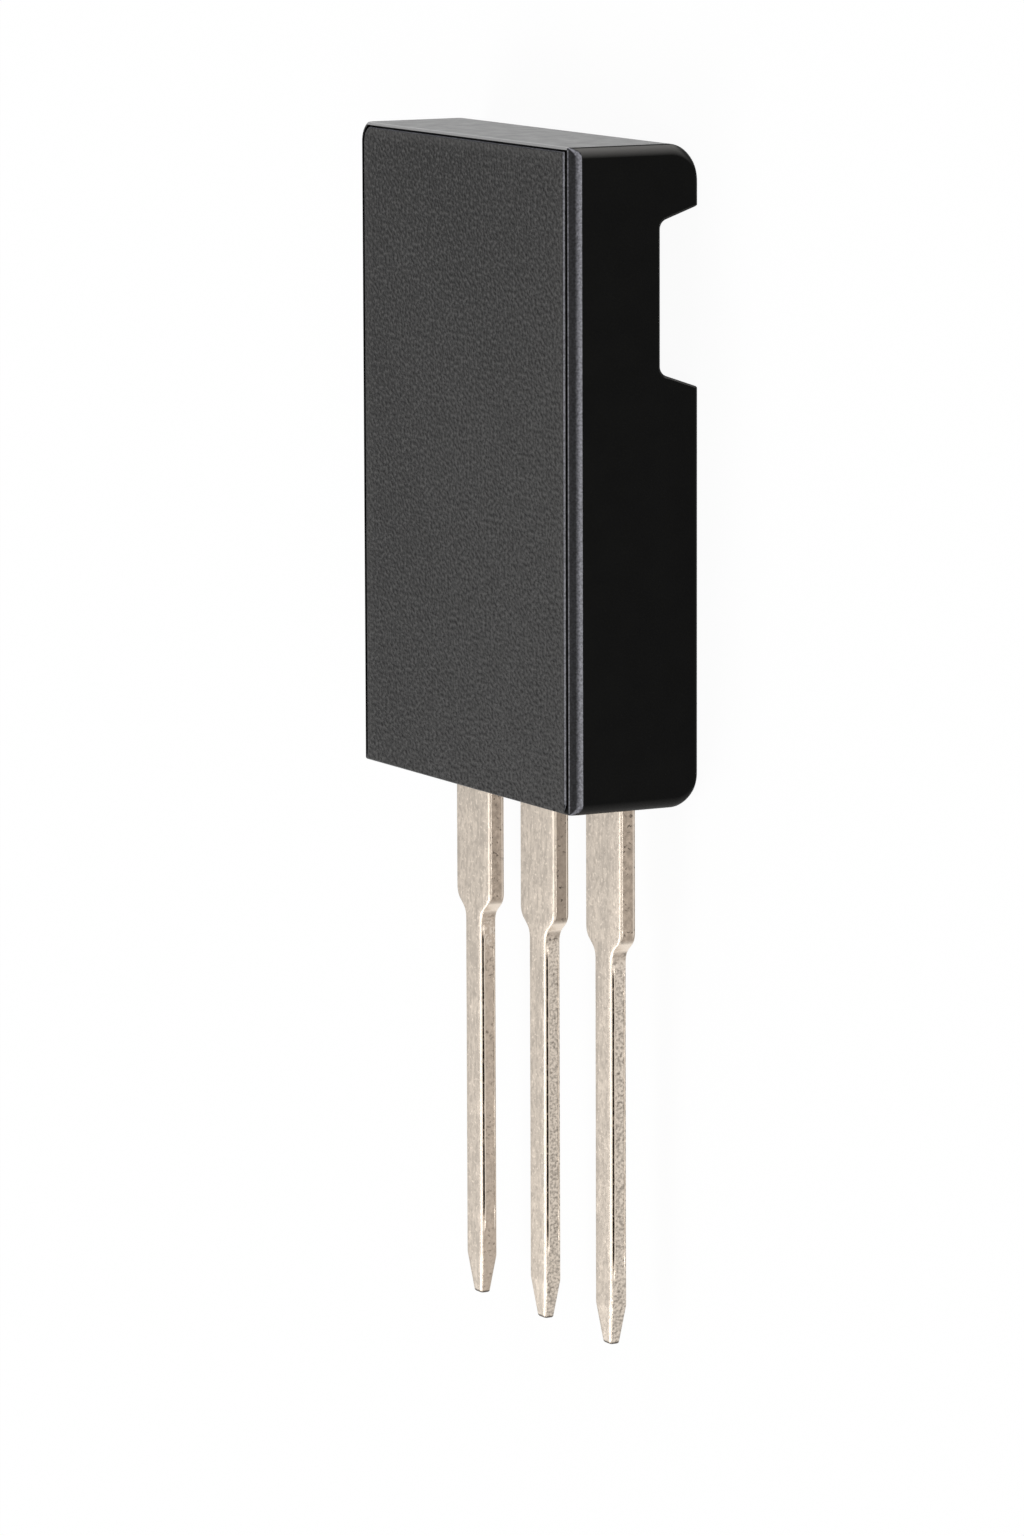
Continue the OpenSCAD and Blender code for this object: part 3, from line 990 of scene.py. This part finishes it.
def half_thickness(y):
    """Half of a lead's thickness at a place along it, which shrinks along the tip."""
    full = (LEAD_BACK - LEAD_FRONT) / 2
    return full + (TIP_T / 2 - full) * fade(-y, -TIP_START, -LEAD_TIP)


def lead_rings(profile, seed, middle=None):
    """Rings round a lead, from its top end to its blunt tip, with the crevice value of each
    point. `middle` gives the height of the lead's middle at a place along it. The lead wanders a
    few microns to its sides, as a stamped strip does."""
    rings, values = [], []
    centre = (LEAD_BACK + LEAD_FRONT) / 2
    stations = [(place, 0) for place in profile[:-1]]
    for up, narrower, thinner in TIP_RINGS:
        stations.append((Vector((LEAD_TIP + up, profile[-1].y - narrower)), thinner))
    for (y, half_w), thinner in stations:
        shoulder = fade(y, TAIL_START, SHOULDER_END)
        half_t = half_thickness(y)
        flatter = 1 - thinner / half_t
        section = lead_section(half_w, half_t, crevice_at(y, seed), shoulder)
        height = middle(y) if middle else centre
        wander = 0.006 * noise.noise(Vector((y * 0.9, seed + 5, 0)))
        right = [(x + wander, y, z * flatter + height) for x, z, _ in section]
        left = [(-x + wander, y, z * flatter + height) for x, z, _ in reversed(section)]
        rings.append(right + left)
        crevices = [c for _, _, c in section]
        values.append(crevices + crevices[::-1])
    return rings, values


def lead_mesh(name, rings, values, extra=None):
    """An object lofted through a lead's rings, which carries the crevice values as a mesh
    attribute. `extra` adds more solids to the same mesh."""
    bm = bmesh.new()
    layer = bm.verts.layers.float.new("crevice")
    for loop, row in zip(loft(bm, rings), values):
        for vert, value in zip(loop, row):
            vert[layer] = value
    if extra:
        loft(bm, extra)
    return new_object(name, bm)


def step_middle(y):
    """Height of the middle of the collector's lead, which steps up to the header."""
    low = (LEAD_BACK + LEAD_FRONT) / 2
    rise = HEADER_FRONT - LEAD_FRONT
    return low + rise * fade(y, STEP[0], STEP[1])


def header_outline():
    """The header seen from above: cut corners and a round notch in each side."""
    side, top = FRAME_HIGH.x, FRAME_HIGH.y
    notch = top - HEADER_NOTCH_FROM_TOP
    right = [(side - HEADER_CUT, HEADER_BOTTOM), (side, HEADER_BOTTOM + HEADER_CUT)]
    steps = 12
    for i in range(steps + 1):
        a = math.radians(-90 - 180 * i / steps)
        right.append((side + HEADER_NOTCH_R * math.cos(a), notch + HEADER_NOTCH_R * math.sin(a)))
    right += [(side, top - HEADER_CUT), (side - HEADER_CUT, top)]
    return right + [(-x, y) for x, y in reversed(right)]


class MakeLeads(bpy.types.Operator):
    """Builds the three stamped leads and the collector's header"""

    bl_idname = "transistor.leads"
    bl_label = "Stamped Leads"

    def execute(self, context):
        plating = tinned_copper(context.scene.transistor_leads)
        for node, x in (("base_lead", BASE_X), ("emitter_lead", -BASE_X)):
            rings, values = lead_rings(lead_profile(LEAD_HIGH.y), LEAD_SEEDS[node])
            lead = lead_mesh("stamped_" + node, rings, values)
            bm = bmesh.new()
            hole = disc_outline(0, LOCK_HOLE_Y, LOCK_HOLE_R)
            loft(bm, prism(hole, LEAD_FRONT - TOOL_PAST, LEAD_BACK + TOOL_PAST))
            cut(lead, new_object("hole_tool", bm))
            lead.data.transform(Matrix.Translation((x, 0, 0)))
            finish_piece(lead, node, (plating,))
        heights = (HEADER_BOTTOM, STEP[1], (STEP[0] + STEP[1]) / 2)
        strap = [Vector((y, SHOULDER_W / 2)) for y in heights]
        seed = LEAD_SEEDS["collector_frame"]
        rings, values = lead_rings(strap + lead_profile(STEP[0]), seed, step_middle)
        header = prism(header_outline(), HEADER_FRONT, FRAME_HIGH.z)
        frame_piece = lead_mesh("stamped_collector_frame", rings, values, header)
        finish_piece(frame_piece, "collector_frame", (plating,))
        return {"FINISHED"}


# ------------------------------------------------------------------------------- die and wires


class FinishDie(bpy.types.Operator):
    """Gives the die, its solder and the bond wires their materials"""

    bl_idname = "transistor.die"
    bl_label = "Die and Bond Wires"

    def execute(self, context):
        wire = aluminium_wire()
        finishes = {
            "die_solder": solder(),
            "die": silicon(),
            "base_wire": wire,
            "emitter_wire_1": wire,
            "emitter_wire_2": wire,
        }
        for node, material in finishes.items():
            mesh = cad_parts[node].data
            mesh.materials.clear()
            mesh.materials.append(material)
        return {"FINISHED"}


# ------------------------------------------------------------------------------- stage

FLOOR_GAP = 0.01 * MM  # keeps the floor and the part's front out of one plane
FLOOR_WHITENESS = 0.95
REFLECTED_SKY = 0.8

# Where each lamp stands from the part, how far off it is and how large, in metres.
LAMPS = {
    "key": ((-0.4, -0.5, 0.8), 0.5, 0.3),
    "top": ((-0.1, 1.0, 0.35), 0.4, 0.25),
    "front": ((0.876, -0.15, 0.458), 0.5, 0.16),
}

VIEW_TARGET = Vector((0, -1.41, 3.46)) * MM
VIEW_DISTANCE = 313.14 * MM
VIEW_AZIMUTH = math.radians(61.63)
VIEW_ELEVATION = math.radians(8.64)
VIEW_ROLL = math.radians(-0.19)
VIEW_LENS = 183.48


def direction(azimuth, elevation):
    """A direction with +Y up, whose azimuth turns from +Z towards +X."""
    flat = math.cos(elevation)
    return Vector((flat * math.sin(azimuth), math.sin(elevation), flat * math.cos(azimuth)))


def make_camera(scene):
    """The camera of the main view, which sees the part upright and from its base side."""
    camera = bpy.data.objects.new("camera", bpy.data.cameras.new("camera"))
    scene.collection.objects.link(camera)
    back = direction(VIEW_AZIMUTH, VIEW_ELEVATION)
    right = Vector((0, 1, 0)).cross(back).normalized()
    up = back.cross(right)
    turn = Matrix.Rotation(VIEW_ROLL, 3, back)
    axes = Matrix((turn @ right, turn @ up, back)).transposed()
    camera.matrix_world = Matrix.Translation(VIEW_TARGET + back * VIEW_DISTANCE) @ axes.to_4x4()
    camera.data.lens = VIEW_LENS
    camera.data.clip_start = 0.01
    camera.data.clip_end = 20
    scene.camera = camera


def make_lamp(name, toward, distance, size, power):
    """A square lamp that looks at the part from a direction."""
    data = bpy.data.lights.new(name, "AREA")
    data.shape = "SQUARE"
    data.size = size
    data.energy = power
    lamp = bpy.data.objects.new(name, data)
    bpy.context.scene.collection.objects.link(lamp)
    lamp.location = VIEW_TARGET + toward.normalized() * distance
    lamp.rotation_mode = "QUATERNION"
    lamp.rotation_quaternion = toward.to_track_quat("Z", "Y")


def make_world(scene, strength):
    """Even light from all round, which reflections see brighter and the camera as plain white."""
    world = bpy.data.worlds.new("studio")
    world.use_nodes = True
    tree = world.node_tree
    tree.nodes.clear()
    path = tree.nodes.new("ShaderNodeLightPath").outputs

    def larger(first, second):
        """The larger of two values, as a node's output."""
        node = tree.nodes.new("ShaderNodeMath")
        node.operation = "MAXIMUM"
        tree.links.new(first, node.inputs[0])
        tree.links.new(second, node.inputs[1])
        return node.outputs[0]

    level = tree.nodes.new("ShaderNodeMapRange")
    level.inputs["To Min"].default_value = strength
    level.inputs["To Max"].default_value = REFLECTED_SKY
    mirrored = larger(path["Is Glossy Ray"], path["Is Transmission Ray"])
    tree.links.new(mirrored, level.inputs["Value"])
    light = tree.nodes.new("ShaderNodeBackground")
    light.inputs["Color"].default_value = (1, 1, 1, 1)
    tree.links.new(larger(level.outputs[0], path["Is Camera Ray"]), light.inputs["Strength"])
    output = tree.nodes.new("ShaderNodeOutputWorld")
    tree.links.new(light.outputs[0], output.inputs["Surface"])
    scene.world = world


class MakeStage(bpy.types.Operator):
    """Builds the floor, the lamps, the world and the camera"""

    bl_idname = "transistor.stage"
    bl_label = "Studio Stage"

    def execute(self, context):
        scene = context.scene
        settings = scene.transistor_stage
        bm = bmesh.new()
        bmesh.ops.create_grid(bm, x_segments=4, y_segments=4, size=2)
        floor = new_object("floor", bm)
        floor.data.materials.append(floor_paint(settings))
        floor.location.z = -FLOOR_GAP
        floor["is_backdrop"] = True
        for name, (toward, distance, size) in LAMPS.items():
            power = getattr(settings, name + "_power")
            make_lamp(name, Vector(toward), distance, size, power)
        make_world(scene, settings.world_strength)
        make_camera(scene)
        scene.view_settings.view_transform = "Standard"
        return {"FINISHED"}


# ------------------------------------------------------------------------------- add-on


class TransistorPanel(bpy.types.Panel):
    """Lists the steps and the settings in the sidebar of the 3D view"""

    bl_idname = "VIEW3D_PT_transistor"
    bl_label = "Power Transistor"
    bl_space_type = "VIEW_3D"
    bl_region_type = "UI"
    bl_category = "Transistor"

    def draw(self, context):
        for step in STEPS:
            self.layout.operator(step.bl_idname)
        for name, group in SETTINGS.items():
            box = self.layout.box()
            for prop in group.__annotations__:
                box.prop(getattr(context.scene, name), prop)


SETTINGS = {
    "transistor_housing": HousingSettings,
    "transistor_leads": LeadSettings,
    "transistor_stage": StageSettings,
}
STEPS = (MakeHousing, MakeLeads, FinishDie, MakeStage)


def register():
    for name, group in SETTINGS.items():
        bpy.utils.register_class(group)
        setattr(bpy.types.Scene, name, bpy.props.PointerProperty(type=group))
    for cls in (*STEPS, TransistorPanel):
        bpy.utils.register_class(cls)


def unregister():
    for cls in reversed((*STEPS, TransistorPanel)):
        bpy.utils.unregister_class(cls)
    for name, group in SETTINGS.items():
        delattr(bpy.types.Scene, name)
        bpy.utils.unregister_class(group)


def corners():
    """The shown object's box as plain lists."""
    return [list(corner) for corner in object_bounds()]


def main():
    """Builds the part and its stage."""
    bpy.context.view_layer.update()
    register()
    bpy.ops.transistor.housing()
    bpy.ops.transistor.leads()
    bpy.ops.transistor.die()
    bpy.ops.transistor.stage()


if __name__ == "__main__":
    main()
